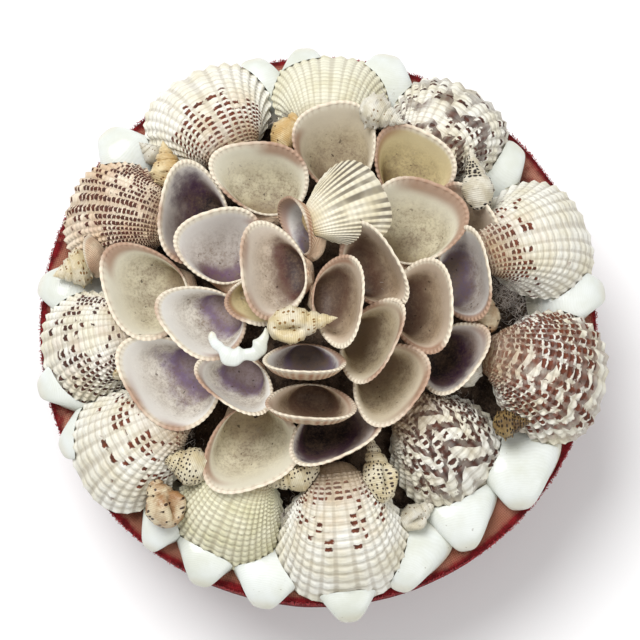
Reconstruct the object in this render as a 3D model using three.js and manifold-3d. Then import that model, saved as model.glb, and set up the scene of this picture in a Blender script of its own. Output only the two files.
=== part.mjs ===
// A round keepsake box covered in red cloth, whose lift-off lid is crowded with glued sea shells:
// a rose of small cupped valves, a ring of large ribbed cockles, smooth clams along the rim and
// little snail shells in the gaps. Millimetres, +Z up, origin at the centre of the underside.
import * as THREE from "three";
import { mergeVertices } from "three/addons/utils/BufferGeometryUtils.js";
import Module from "manifold-3d";

const wasm = await Module();
wasm.setup();

// Driving dimensions of the box.
const LID_RADIUS = 73.5;
const LID_THICKNESS = 3;
const SKIRT_DEPTH = 14;
const SKIRT_WALL = 2.5;
const LID_CLEARANCE = 0.7;
const BASE_HEIGHT = 46;
const BASE_WALL = 3;
const LID_TOP = BASE_HEIGHT + LID_THICKNESS;
const ROUND_SIDES = 32;

// The glue bed is a low mound, highest in the middle.
const BED_RADIUS = 62;
const BED_EDGE = 1.5;
const BED_CROWN = 21;
const BED_SLOPE = 0.85;
const BED_REACHES = [BED_RADIUS, 42, 20, 0];
const BED_SIDES = 16;

// Shells that are pressed against each other or into the bed stay this far apart.
const GAP = 0.3;

// Each kind of valve: how fast the log spiral closes, its wall, how much narrower it is at the
// beak, its ribs, and the spiral angles of its outer and inner rings in degrees. A clam lies flat
// on the lid with its hollow packed with glue, so it has no inner rings.
const COCKLE = { curl: 0.75, wall: 1.6, taper: 0.12, ribs: 8, ribHeight: 0.7,
  outer: [105, 68, 34, 0], inner: [0, 68] };
const PETAL = { curl: 0.8, wall: 1.2, taper: 0.16, sides: 10,
  outer: [105, 45, 0], inner: [0, 45] };
const CLAM = { curl: 1.1, taper: 0.45, sides: 8, outer: [95, 38, 0], inner: [] };
const FAN = { curl: 1.1, wall: 1.1, taper: 0.3, ribs: 9, ribHeight: 0.5,
  outer: [95, 40, 0], inner: [0, 40] };
const BEAK_OFFSET = 0.02;
const BEAK_BREADTH = 0.75;
const OUTLINE_FULLNESS = 0.8;
const MIDDLE = 0.45;
const POLE_TURN = 25;

// Colours, seen from a step away.
const RED_CLOTH = { color: 0x8c2026, roughness: 0.95, metalness: 0 };
const GLUE = { color: 0x6f6455, roughness: 0.9, metalness: 0 };
const WHITE_BROWN = { color: 0xd3c6b4, roughness: 0.6, metalness: 0 };
const CREAM = { color: 0xdad6bf, roughness: 0.6, metalness: 0 };
const PETAL_CREAM = { color: 0xcdbfa6, roughness: 0.4, metalness: 0 };
const PETAL_PURPLE = { color: 0x8d7080, roughness: 0.4, metalness: 0 };
const CHALK = { color: 0xe9e9e4, roughness: 0.5, metalness: 0 };
const SPOTTED = { color: 0xd8c9a4, roughness: 0.55, metalness: 0 };

const radians = THREE.MathUtils.degToRad;
const object = new THREE.Group();

function solidOf(geometry) {
  const bare = geometry.clone();
  bare.deleteAttribute("normal");
  bare.deleteAttribute("uv");
  const merged = mergeVertices(bare, 1e-4);
  const mesh = new wasm.Mesh({
    numProp: 3,
    vertProperties: merged.attributes.position.array,
    triVerts: new Uint32Array(merged.index.array),
  });
  return new wasm.Manifold(mesh);
}

function geometryOf(solid) {
  const { vertProperties, triVerts } = solid.getMesh();
  const geometry = new THREE.BufferGeometry();
  geometry.setAttribute("position", new THREE.BufferAttribute(new Float32Array(vertProperties), 3));
  geometry.setIndex(new THREE.BufferAttribute(new Uint32Array(triVerts), 1));
  geometry.computeVertexNormals();
  return geometry;
}

function place(name, geometry, finish) {
  const mesh = new THREE.Mesh(geometry, new THREE.MeshStandardMaterial(finish));
  mesh.name = name;
  object.add(mesh);
  return mesh;
}

function turned(profile, sides) {
  const points = profile.map(([r, z]) => new THREE.Vector2(r, z));
  return new THREE.LatheGeometry(points, sides).rotateX(Math.PI / 2);
}

// The drum, open at the top.
function boxBase() {
  const outer = LID_RADIUS - SKIRT_WALL - LID_CLEARANCE;
  const inner = outer - BASE_WALL;
  const profile = [[0, 0], [outer, 0], [outer, BASE_HEIGHT], [inner, BASE_HEIGHT],
    [inner, BASE_WALL], [0, BASE_WALL]];
  return turned(profile, ROUND_SIDES);
}

// The lid: a disc with a skirt that slips over the drum.
function boxLid() {
  const inner = LID_RADIUS - SKIRT_WALL;
  const hem = BASE_HEIGHT - SKIRT_DEPTH;
  const profile = [[0, BASE_HEIGHT], [inner, BASE_HEIGHT], [inner, hem], [LID_RADIUS, hem],
    [LID_RADIUS, LID_TOP], [0, LID_TOP]];
  return turned(profile, ROUND_SIDES);
}

// The bed grown by "grow" is what the shells keep clear of.
function glueBed(grow = 0) {
  const profile = [[0, LID_TOP], [BED_RADIUS + grow, LID_TOP]];
  for (const reach of BED_REACHES) {
    const height = BED_EDGE + (BED_CROWN - BED_EDGE) * (1 - reach / BED_RADIUS) ** BED_SLOPE;
    profile.push([reach ? reach + grow : 0, LID_TOP + height + grow]);
  }
  return turned(profile, BED_SIDES);
}

// A disc that stands in for the lid, grown by the gap.
function lidGuard() {
  const radius = LID_RADIUS + GAP;
  const top = LID_TOP + GAP;
  return turned([[0, BASE_HEIGHT], [radius, BASE_HEIGHT], [radius, top], [0, top]], ROUND_SIDES);
}

// One point of a valve. "side" is the outline's angle round the valve, from the beak; "angle" is
// how far the outline has turned about the hinge line as it shrinks along a log spiral.
function valvePoint(kind, size, angle, side) {
  const shrink = Math.exp(-kind.curl * angle);
  const along = size.length * (BEAK_OFFSET + (1 - BEAK_OFFSET) * (1 - Math.cos(side)) / 2);
  const wide = Math.sign(Math.sin(side)) * Math.abs(Math.sin(side)) ** OUTLINE_FULLNESS;
  const across = size.width / 2 * wide * (1 - kind.taper * Math.cos(side)) + size.skew * along;
  return new THREE.Vector3(across * shrink ** BEAK_BREADTH, along * Math.cos(angle) * shrink,
    along * Math.sin(angle) * shrink);
}

// A valve is a sphere mesh whose upper rows become the outer face, from the beak's pole down to
// the margin, and whose lower rows become the hollow. It lies with its margin in the XY plane,
// its middle at the origin, the beak towards -Y and its back up. Grown by the gap and filled, it
// is the room that the valve takes.
function valve(kind, size, room = false) {
  const around = kind.ribs ? kind.ribs * 2 : kind.sides;
  const rings = [...kind.outer, ...(room ? [0] : kind.inner)];
  const lastRow = rings.length + 1;
  const geometry = new THREE.SphereGeometry(1, around, lastRow);
  const position = geometry.attributes.position;
  const middle = new THREE.Vector3(size.skew * MIDDLE * size.length, MIDDLE * size.length, 0);
  const half = size.length / 2;
  const grow = room ? GAP : 0;
  for (let row = 0; row <= lastRow; row += 1) {
    const isBack = row <= kind.outer.length;
    const isPole = row === 0 || row === lastRow;
    const ring = rings[Math.min(Math.max(row - 1, 0), rings.length - 1)];
    const angle = radians(ring + (isPole && ring ? POLE_TURN : 0));
    const scale = 1 + (isBack || room ? grow : -(kind.wall ?? 0)) / half;
    for (let step = 0; step <= around; step += 1) {
      const side = step % around / around * 2 * Math.PI;
      const point = valvePoint(kind, size, angle, isPole ? Math.PI : side);
      if (isPole) point.add(valvePoint(kind, size, angle, 0)).divideScalar(2);
      const isRib = kind.ribs && !isPole && (isBack || room) && step % 2 === 1;
      point.sub(middle).multiplyScalar(scale + (isRib ? kind.ribHeight / half : 0));
      if (!isBack) point.z -= grow;
      position.setXYZ(row * (around + 1) + step, point.x, point.y, point.z);
    }
  }
  return geometry;
}

// A snail shell is a turned spire whose whorls bulge between their seams, cut by the slit of its
// mouth. It lies along Y with its tip at +Y. Shares are of its length, from the tip, and of its
// width.
const WHORLS = 3;
const WHORL_GROWTH = 1.5;
const BODY_SHARE = 0.62;
const CANAL_TAPER = 0.65;
const WHORL_STEPS = [{ part: 1, bulge: 0.86 }, { part: 0.6, bulge: 1.05 }];
const SNAIL_SIDES = 7;
const TIP_SHARE = 0.03;
const MOUTH_RADII = [0.17, 0.25, 0.3];
const MOUTH_PLACE = [0.16, -0.2, 0.42];
const MOUTH_SIDES = 5;
const MOUTH_ROWS = 3;

function snail(size, room = false) {
  const grow = room ? GAP : 0;
  const points = [new THREE.Vector2(0, -size.length / 2 - grow)];
  for (let whorl = WHORLS; whorl > 0; whorl -= 1) {
    for (const { part, bulge } of WHORL_STEPS) {
      const share = ((whorl - 1 + part) / WHORLS) ** WHORL_GROWTH;
      const pastBody = Math.max(0, (share - BODY_SHARE) / (1 - BODY_SHARE));
      const girth = Math.min(share / BODY_SHARE, 1) - CANAL_TAPER * pastBody ** 2;
      const radius = size.width / 2 * girth * bulge + grow;
      points.push(new THREE.Vector2(radius, size.length * (0.5 - share * (1 - TIP_SHARE))));
    }
  }
  points.push(new THREE.Vector2(0, size.length / 2 + grow));
  return new THREE.LatheGeometry(points, SNAIL_SIDES);
}

function snailMouth({ width, length }) {
  return new THREE.SphereGeometry(1, MOUTH_SIDES, MOUTH_ROWS)
    .scale(width * MOUTH_RADII[0], length * MOUTH_RADII[1], width * MOUTH_RADII[2])
    .translate(width * MOUTH_PLACE[0], length * MOUTH_PLACE[1], width * MOUTH_PLACE[2]);
}

// A broken lip of a shell, curved like a claw and pointed at both ends: the lune between an outer
// arc and a slightly smaller one that is shifted towards its mouth.
const LIP_RADIUS = 7.6;
const LIP_INNER = 0.93;
const LIP_SHIFT = new THREE.Vector2(0.6, 2.4);
const LIP_THICKNESS = 1.8;
const LIP_STEPS = 8;
const LIP_OUTER_ARC = [175, 351];
const LIP_INNER_ARC = [333, 185];

function brokenLip(room = false) {
  const grow = room ? GAP : 0;
  const [outerFrom, outerTo] = LIP_OUTER_ARC.map(radians);
  const [innerFrom, innerTo] = LIP_INNER_ARC.map(radians);
  const outline = new THREE.Shape();
  outline.absarc(0, 0, LIP_RADIUS + grow, outerFrom, outerTo, false);
  outline.absarc(LIP_SHIFT.x, LIP_SHIFT.y, LIP_RADIUS * LIP_INNER - grow, innerFrom, innerTo, true);
  const depth = LIP_THICKNESS + 2 * grow;
  return new THREE.ExtrudeGeometry(outline, { depth, bevelEnabled: false, curveSegments: LIP_STEPS })
    .translate(0, LIP_RADIUS / 2, -grow);
}

// Where a shell sits: its middle in polar form about the lid, its height above the lid, the
// heading of its margin away from the beak, the pitch that raises the margin, and its roll.
function seat(mesh, { bearing, reach, rise, heading, pitch = 0, roll = 0 }) {
  const turn = radians(bearing);
  mesh.position.set(reach * Math.cos(turn), reach * Math.sin(turn), LID_TOP + rise);
  mesh.rotation.set(radians(pitch), radians(roll), radians(heading - 90), "ZXY");
  mesh.updateMatrix();
}

// The room that is already taken.
const taken = [solidOf(glueBed(GAP)), solidOf(lidGuard())];

const near = (a, b) => [0, 1, 2].every((k) => a.min[k] < b.max[k] && b.min[k] < a.max[k]);

// Cuts away what would run into the bed, the lid or a shell set before, and keeps the main piece.
function fitted(solid) {
  const box = solid.boundingBox();
  const others = taken.filter((other) => near(box, other.boundingBox()));
  const pieces = others.reduce((left, other) => left.subtract(other), solid).decompose();
  pieces.sort((a, b) => b.volume() - a.volume());
  return pieces[0];
}

// Sets a shell, or a cluster of shells that touch, and notes the room that they take.
function setShell(name, finish, members) {
  const mesh = place(name, new THREE.BufferGeometry(), finish);
  seat(mesh, members[0].where);
  const solids = [];
  const rooms = [];
  for (const { whole, room, where } of members) {
    const spot = new THREE.Object3D();
    seat(spot, where);
    solids.push(whole.transform(spot.matrix.elements));
    rooms.push(room.transform(spot.matrix.elements));
  }
  const cut = fitted(solids.reduce((all, solid) => all.add(solid)));
  mesh.geometry = geometryOf(cut.transform(mesh.matrix.clone().invert().elements));
  taken.push(...rooms);
}

function valveMember(kind, size, where) {
  return { whole: solidOf(valve(kind, size)), room: solidOf(valve(kind, size, true)), where };
}

function snailMember(size, where, mouthShows) {
  const whole = solidOf(snail(size));
  return {
    whole: mouthShows ? whole.subtract(solidOf(snailMouth(size))) : whole,
    room: solidOf(snail(size, true)),
    where,
  };
}

const numbered = (name, i) => `${name}_${String(i + 1).padStart(2, "0")}`;

// The rose of cupped valves, hollow side up, from the uppermost to the lowest: bearing and reach
// of its middle, rise, heading, pitch, length, width, skew and colour.
const ROSE = [
  [9, 4, 28, 352, 42, 18, 23, -0.25, PETAL_CREAM],
  [141, 13, 26, 185, 20, 18, 25, -0.05, PETAL_PURPLE],
  [256, 14, 26, 268, 55, 17, 20, 0, PETAL_PURPLE],
  [324, 15, 25, 335, 40, 18, 23, 0, PETAL_CREAM],
  [34, 15, 26, 30, 46, 18, 24, -0.1, PETAL_CREAM],
  [186, 28, 21, 220, 16, 20, 22, -0.2, PETAL_PURPLE],
  [266, 24, 23, 266, 52, 18, 22, 0, PETAL_CREAM],
  [223, 27, 22, 235, 36, 18, 21, 0, PETAL_PURPLE],
  [149, 28, 21, 108, 14, 20, 22, 0.1, PETAL_PURPLE],
  [0, 25, 22, 0, 34, 19, 24, -0.1, PETAL_CREAM],
  [312, 25, 22, 322, 26, 20, 22, -0.1, PETAL_CREAM],
  [41, 32, 20, 68, 14, 23, 24, -0.1, PETAL_CREAM],
  [276, 31, 20, 295, 40, 20, 24, 0, PETAL_PURPLE],
  [13, 37, 18, 10, 44, 18, 24, 0.05, PETAL_PURPLE],
  [206, 40, 17, 212, 14, 23, 27, -0.2, PETAL_CREAM],
  [243, 38, 17, 288, 16, 23, 25, -0.15, PETAL_CREAM],
  [113, 36, 18, 95, 14, 20, 24, 0.3, PETAL_CREAM],
  [83, 42, 17, 105, 16, 24, 21, 0, PETAL_CREAM],
  [173, 43, 17, 197, 14, 22, 26, -0.15, PETAL_CREAM],
  [142, 39, 18, 170, 24, 20, 26, -0.2, PETAL_PURPLE],
  [57, 44, 16, 62, 20, 20, 22, 0.1, PETAL_CREAM],
  [341, 35, 17, 324, 34, 18, 21, 0, PETAL_PURPLE],
  [32, 43, 15, 38, 30, 17, 20, 0, PETAL_CREAM],
];

// A fan shell lies back up over the rose, a small valve is wedged on edge beside it, and a broken
// lip lies on the other side.
const FAN_SIZE = { length: 21, width: 21, skew: 0 };
const FAN_PLACE = { bearing: 76, reach: 25, rise: 25.5, heading: 27, pitch: 6 };
const EDGE_SIZE = { length: 16, width: 15, skew: 0 };
const EDGE_PLACE = { bearing: 106, reach: 20, rise: 24, heading: 113, pitch: 10, roll: 110 };
const LIP_PLACE = { bearing: 209, reach: 22, rise: 25, heading: 100, pitch: 8 };

// The ring of large cockles, back up, beak inwards: bearing, reach, heading, length, width, colour.
const RING = [
  [87, 58, 87, 29, 31, CREAM],
  [56, 60, 56, 30, 31, WHITE_BROWN],
  [20, 59, 20, 32, 32, WHITE_BROWN],
  [346, 60, 346, 32, 34, WHITE_BROWN],
  [313, 46, 315, 30, 29, WHITE_BROWN],
  [276, 56, 276, 33, 33, WHITE_BROWN],
  [246, 54, 244, 28, 28, CREAM],
  [215, 58, 208, 31, 31, WHITE_BROWN],
  [187, 58, 190, 28, 29, WHITE_BROWN],
  [152, 58, 164, 30, 29, WHITE_BROWN],
  [118, 60, 120, 31, 34, WHITE_BROWN],
];
const RING_RISE = 5.4;
const RING_PITCH = -17;

// Smooth clams along the rim, back up, points outwards, those that touch in one cluster: bearing,
// reach, heading, length and width of each.
const RIM = [
  [[139, 67.4, 310, 20, 19]],
  [[173, 64.5, 350, 20, 19]],
  [[194, 65.4, 15, 20, 19], [207, 65.6, 30, 19, 18]],
  [[233, 65, 60, 18, 15]],
  [[245, 66, 75, 19, 19], [259, 66.5, 80, 19, 21]],
  [[276, 69, 95, 19, 20]],
  [[291, 65, 75, 20, 19], [306, 62, 100, 20, 20]],
  [[323, 64, 95, 22, 23]],
  [[6, 66, 185, 20, 19]],
  [[41, 62, 225, 20, 19]],
  [[75, 66, 260, 20, 21]],
  [[93, 66, 272, 19, 18], [104, 65, 285, 19, 19]],
];
const RIM_RISE = 0.8;
const RIM_PITCH = 3;

// Snail shells in the gaps: bearing, reach, rise, heading of the tip, pitch, length, width and
// whether the mouth shows.
const SNAILS = [
  [236, 7, 29, 8, 4, 18, 9.5, true],
  [98, 50, 14, 60, 0, 15, 9, false],
  [40, 53, 14, 100, 15, 16, 7.5, false],
  [290, 43, 16, 102, 0, 18, 9, true],
  [229, 52, 15, 163, 5, 14.5, 10, false],
  [230, 62, 11, 115, 12, 16, 10.5, true],
  [261, 43, 16, 200, 0, 15, 10, true],
  [297, 57, 6.2, 35, -8, 12, 7, true],
];

place("box_base", boxBase(), RED_CLOTH);
place("lid", boxLid(), RED_CLOTH);
place("glue_bed", glueBed(), GLUE);

ROSE.forEach(([bearing, reach, rise, heading, pitch, length, width, skew, finish], i) => {
  const where = { bearing, reach, rise, heading, pitch, roll: 180 };
  const size = { length, width, skew };
  setShell(numbered("petal_valve", i), finish, [valveMember(PETAL, size, where)]);
});

setShell("fan_scallop", CREAM, [valveMember(FAN, FAN_SIZE, FAN_PLACE)]);
setShell("edge_valve", PETAL_PURPLE, [valveMember(PETAL, EDGE_SIZE, EDGE_PLACE)]);
setShell("broken_lip", CHALK, [{
  whole: solidOf(brokenLip()),
  room: solidOf(brokenLip(true)),
  where: LIP_PLACE,
}]);

RING.forEach(([bearing, reach, heading, length, width, finish], i) => {
  const where = { bearing, reach, rise: RING_RISE, heading, pitch: RING_PITCH };
  const size = { length, width, skew: 0 };
  setShell(numbered("large_cockle", i), finish, [valveMember(COCKLE, size, where)]);
});

SNAILS.forEach(([bearing, reach, rise, heading, pitch, length, width, mouthShows], i) => {
  const where = { bearing, reach, rise, heading, pitch };
  const size = { length, width };
  setShell(numbered("snail_shell", i), SPOTTED, [snailMember(size, where, mouthShows)]);
});

RIM.forEach((cluster, i) => {
  const members = cluster.map(([bearing, reach, heading, length, width]) => {
    const where = { bearing, reach, rise: RIM_RISE, heading, pitch: RIM_PITCH };
    return valveMember(CLAM, { length, width, skew: 0 }, where);
  });
  setShell(numbered("rim_clam", i), CHALK, members);
});

export default object;
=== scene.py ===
"""Shell box: a round keepsake box in worn red cloth, its lid crowded with glued sea shells."""

import math
from types import SimpleNamespace

import bmesh
import bpy
import numpy as np
from bpy.props import FloatProperty, FloatVectorProperty, IntProperty, PointerProperty
from mathutils import Matrix, Vector


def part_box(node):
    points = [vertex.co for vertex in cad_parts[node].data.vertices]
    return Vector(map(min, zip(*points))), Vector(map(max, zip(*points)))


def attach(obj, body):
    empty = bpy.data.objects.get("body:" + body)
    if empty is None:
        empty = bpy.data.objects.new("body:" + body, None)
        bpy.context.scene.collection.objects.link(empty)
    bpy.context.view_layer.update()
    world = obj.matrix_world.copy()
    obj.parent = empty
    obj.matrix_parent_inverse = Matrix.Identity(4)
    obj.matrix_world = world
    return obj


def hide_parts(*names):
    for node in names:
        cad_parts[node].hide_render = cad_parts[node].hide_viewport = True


bl_info = {
    "name": "Shell box",
    "version": (1, 0, 0),
    "blender": (4, 5, 0),
    "location": "View3D > Sidebar > Shell box",
    "description": "Dresses a round cloth-covered box and the glued shells on its lid",
    "category": "Object",
}

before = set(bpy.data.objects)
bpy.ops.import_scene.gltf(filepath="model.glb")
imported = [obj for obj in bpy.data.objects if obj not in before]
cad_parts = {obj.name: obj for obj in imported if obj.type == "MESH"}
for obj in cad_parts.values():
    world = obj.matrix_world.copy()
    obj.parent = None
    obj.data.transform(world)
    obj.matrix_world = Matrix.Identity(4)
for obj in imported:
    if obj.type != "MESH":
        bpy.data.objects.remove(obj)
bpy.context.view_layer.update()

MM = 0.001
BODY = "root"
TAU = 2 * math.pi

LID_LOW, LID_HIGH = (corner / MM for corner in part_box("lid"))
BASE_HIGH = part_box("box_base")[1] / MM
BED_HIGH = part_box("glue_bed")[1] / MM
LID_TOP = LID_HIGH.z
LID_RADIUS = LID_HIGH.x
BASE_RADIUS = BASE_HIGH.x
BASE_HEIGHT = BASE_HIGH.z
BED_RADIUS = BED_HIGH.x
BED_CROWN = BED_HIGH.z - LID_TOP
BED_EDGE = 1.5
BED_SLOPE = 0.85
SKIRT_WALL = 2.5
BASE_WALL = 3.0

# Shells keep this far apart where one is carved to fit beside another.
GAP = 0.15


def srgb(red, green, blue):
    """A colour seen on a screen, 0 to 255, as the linear colour that shaders use."""
    shares = (channel / 255 for channel in (red, green, blue))
    return tuple(s / 12.92 if s <= 0.04045 else ((s + 0.055) / 1.055) ** 2.4 for s in shares)


def rgba(colour):
    return (*colour[:3], 1.0)


# ---------------------------------------------------------------- sizes and colours

def tint(name, description, default):
    return FloatVectorProperty(name=name, description=description, subtype="COLOR",
                               default=default, min=0, max=1)


def measure(name, description, default, low, high):
    """A length, given in millimetres."""
    return FloatProperty(name=name, description=description, default=default * MM,
                         min=low * MM, max=high * MM, unit="LENGTH", precision=5)


class BoxSettings(bpy.types.PropertyGroup):
    """The cloth-covered box."""

    cloth: tint("Cloth", "Colour of the red cloth", srgb(136, 24, 30))
    worn: tint("Worn cloth", "Colour where the cloth is faded and rubbed", srgb(196, 138, 116))
    thread: measure("Thread", "Distance between the threads of the cloth", 0.55, 0.2, 2)
    fray: measure("Fray", "Length of the threads that stand out from the lid's edge", 1.1, 0, 3)


class ShellSettings(bpy.types.PropertyGroup):
    """What all the shells share."""

    rib: measure("Rib", "Height of a large cockle's ribs", 0.6, 0, 1)
    dust: FloatProperty(
        name="Dust", description="How much dust lies in the hollows and near the beaks",
        default=0.6, min=0, max=1, subtype="FACTOR")
    dust_colour: tint("Dust colour", "Colour of the dust", srgb(112, 92, 74))


class LintSettings(bpy.types.PropertyGroup):
    """The lint that is caught between the shells."""

    count: IntProperty(
        name="Fibres", description="How many fibres are caught in each tuft",
        default=150, min=0, max=400)
    length: measure("Length", "Length of a fibre", 3.2, 0.5, 10)
    seed: IntProperty(
        name="Seed", description="Changes how the fibres lie", default=7, min=0, max=999)
    colour: tint("Lint colour", "Colour of the lint", srgb(196, 186, 176))


class StageSettings(bpy.types.PropertyGroup):
    """The floor, lights and camera."""

    floor: tint("Floor", "Colour of the floor", (0.95, 0.95, 0.95))
    light: FloatProperty(
        name="Light", description="Power of the main soft light", default=7.6, min=0, max=100,
        unit="POWER")
    sky: FloatProperty(
        name="Sky", description="Strength of the even light from all round", default=0.46,
        min=0, max=5)
    elevation: FloatProperty(
        name="Elevation", description="How high the camera stands above the horizon",
        default=math.radians(78.6), min=0, max=math.pi / 2, subtype="ANGLE")
    distance: FloatProperty(
        name="Distance", description="From the camera to the middle of the lid", default=0.5,
        min=0.1, max=5, unit="LENGTH")
    lens: FloatProperty(
        name="Lens", description="Focal length of the camera in millimetres", default=106.5,
        min=10, max=400, unit="CAMERA")


class ShellBoxSettings(bpy.types.PropertyGroup):
    """Everything that a user would change."""

    box: PointerProperty(type=BoxSettings)
    shells: PointerProperty(type=ShellSettings)
    lint: PointerProperty(type=LintSettings)
    stage: PointerProperty(type=StageSettings)


def settings():
    return bpy.context.scene.shell_box


# ---------------------------------------------------------------- materials

class Wire:
    """A node's output, for use in a Python expression."""

    def __init__(self, tree, socket):
        self.tree = tree
        self.socket = socket

    def maths(self, operation, *values):
        return self.tree.node("ShaderNodeMath", {"operation": operation},
                              dict(enumerate(values)))

    def __neg__(self):
        return self * -1.0

    def rise(self, low, high):
        """0 below low, 1 above high, and smooth between."""
        sockets = {"Value": self, "From Min": low, "From Max": high}
        return self.tree.node("ShaderNodeMapRange", {"interpolation_type": "SMOOTHSTEP"},
                              sockets)


SIGNS = {"add": "ADD", "sub": "SUBTRACT", "mul": "MULTIPLY", "truediv": "DIVIDE",
         "pow": "POWER", "mod": "FLOORED_MODULO"}
FUNCTIONS = {"floor": "FLOOR", "rest": "FRACT", "sin": "SINE", "abs": "ABSOLUTE",
             "top": "MAXIMUM", "cut": "MINIMUM"}
for word, maths in SIGNS.items():
    setattr(Wire, f"__{word}__", lambda a, b, maths=maths: a.maths(maths, a, b))
    setattr(Wire, f"__r{word}__", lambda a, b, maths=maths: a.maths(maths, b, a))
for word, maths in FUNCTIONS.items():
    setattr(Wire, word, lambda a, *others, maths=maths: a.maths(maths, a, *others))


class Tree:
    """A node tree, for shaders and for geometry."""

    def __init__(self, tree):
        self.tree = tree

    def node(self, kind, choices=None, sockets=None, output=0):
        """A new node: its settings first, then its sockets. Gives the output asked for."""
        made = self.tree.nodes.new(kind)
        for name, value in (choices or {}).items():
            setattr(made, name, value)
        by_identifier = {socket.identifier: socket for socket in made.inputs}
        for key, value in (sockets or {}).items():
            socket = by_identifier.get(key) or made.inputs[key]
            if isinstance(value, Wire):
                self.tree.links.new(value.socket, socket)
            else:
                socket.default_value = value
        if isinstance(output, str):
            output = [socket.identifier for socket in made.outputs].index(output)
        return Wire(self, made.outputs[output])

    def end(self, kind, socket, wire):
        """The tree's last node, which has no output."""
        self.tree.links.new(wire.socket, self.tree.nodes.new(kind).inputs[socket])


SHEEN = 0.2
GRIT = srgb(58, 44, 34)


class Recipe(Tree):
    """One material in the making: the colour goes on in coats."""

    def __init__(self, name):
        self.material = bpy.data.materials.new(name)
        self.material.use_nodes = True
        super().__init__(self.material.node_tree)
        self.tree.nodes.clear()
        self.place = self.node("ShaderNodeTexCoord", output="Object")

    def split(self, vector):
        return [self.node("ShaderNodeSeparateXYZ", None, {0: vector}, i) for i in range(3)]

    def mapped(self):
        """The piece's own map: round the shell, and from margin to beak."""
        across, along, _ = self.split(self.node("ShaderNodeUVMap", {"uv_map": "shell"}))
        return across, along

    def noise(self, scale, seed=0.0, detail=2.0, rough=0.5):
        sockets = {"Vector": self.place, "W": seed, "Scale": scale, "Detail": detail,
                   "Roughness": rough}
        return self.node("ShaderNodeTexNoise", {"noise_dimensions": "4D"}, sockets)

    def chance(self, column, row, seed):
        """A number from 0 to 1 that is the same all over one cell."""
        cell = self.node("ShaderNodeCombineXYZ", None, {0: column, 1: row, 2: seed})
        return self.node("ShaderNodeTexWhiteNoise", {"noise_dimensions": "3D"},
                         {"Vector": cell}, "Value")

    def mix(self, factor, first, second):
        first, second = (c if isinstance(c, Wire) else rgba(c) for c in (first, second))
        sockets = {"Factor_Float": factor, "A_Color": first, "B_Color": second}
        return self.node("ShaderNodeMix", {"data_type": "RGBA"}, sockets, "Result_Color")

    def ground(self, factor, first, second):
        """The first coat."""
        self.colour = self.mix(factor, first, second)

    def paint(self, factor, colour):
        """A further coat."""
        self.colour = self.mix(factor, self.colour, colour)

    def dust(self, amount):
        """A speckled coat of dust, with some grit in it."""
        shells = settings().shells
        specks = self.noise(1500, 3.1, 3.0, 0.7).rise(0.45, 0.62)
        cloud = self.noise(230, 5.7, 4.0, 0.65).rise(0.36, 0.64)
        cover = (specks * 0.45 + cloud * 0.55) * amount * shells.dust
        self.paint(cover.cut(0.9), tuple(shells.dust_colour))
        grit = self.noise(800, 8.8, 1.0).rise(0.7, 0.74)
        self.paint(grit * amount * shells.dust, GRIT)

    def finish(self, rough, height=None, depth=0.1, coat=0.0):
        """The shader itself. "height" is a relief of "depth" millimetres."""
        sockets = {"Base Color": self.colour, "Roughness": rough, "Coat Weight": coat,
                   "Specular IOR Level": SHEEN}
        if height is not None:
            bump = {"Height": height, "Distance": depth * MM, "Strength": 1.0}
            sockets["Normal"] = self.node("ShaderNodeBump", None, bump)
        shader = self.node("ShaderNodeBsdfPrincipled", None, sockets)
        self.end("ShaderNodeOutputMaterial", "Surface", shader)
        return self.material


def ripple(turns):
    """From 0 to 1 and back, once for each whole number."""
    return (turns * TAU).sin() * 0.5 + 0.5


def shaded(colour, share):
    return tuple(channel * share for channel in colour)


BROWN_STAIN = srgb(128, 78, 54)
PAPER, OLD_PAPER = srgb(222, 208, 180), srgb(198, 180, 148)
PASTE, FIBRE, GRAIN = srgb(46, 35, 29), srgb(104, 86, 70), srgb(150, 136, 120)


def cloth_material():
    """Red woven cloth, faded and rubbed towards the shells and along its edges, with painted
    shade between its threads.
    """
    box = settings().box
    cloth, worn = tuple(box.cloth), tuple(box.worn)
    recipe = Recipe("red_cloth")
    across, along = recipe.mapped()
    x, y, z = recipe.split(recipe.place)
    over = (across.floor() + along.floor()) % 2.0
    warp = (across * math.pi).sin().abs()
    weft = (along * math.pi).sin().abs()
    weave = warp * over + weft * (1 - over)
    reach = (x * x + y * y) ** 0.5 / MM
    blotch = recipe.noise(75, 1.3, 5.0, 0.65)
    top = (z / MM).rise(LID_TOP - 0.8, LID_TOP - 0.2)
    wander = blotch * 6.0 - 3.0
    fade = top * (1 - (reach + wander).rise(LID_RADIUS - 3.0, LID_RADIUS - 1.0))
    deep = shaded(cloth, 0.38)
    recipe.ground(recipe.noise(420, 2.0, 4.0, 0.7).rise(0.35, 0.65), cloth, deep)
    recipe.paint(blotch.rise(0.6, 0.7) * 0.35, worn)
    recipe.paint(fade * recipe.noise(130, 4.1, 5.0, 0.7).rise(0.3, 0.5) * 0.85, worn)
    recipe.paint(recipe.noise(48, 8.2, 4.0).rise(0.45, 0.6) * fade * 0.6, BROWN_STAIN)
    # Painted shade between the threads of the weave.
    recipe.paint((1 - weave) * 0.5, shaded(deep, 0.3))
    return recipe.finish(0.95, weave * 0.8 + recipe.noise(2600, 0.4, 2.0, 0.8) * 0.6, 0.16)


def lining_material():
    """Plain cream paper that lines the box and the inside of the lid."""
    recipe = Recipe("paper_lining")
    mottle = recipe.noise(260, 0.2, 4.0, 0.6)
    recipe.ground(mottle.rise(0.3, 0.75), PAPER, OLD_PAPER)
    return recipe.finish(0.85, mottle, 0.05)


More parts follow.
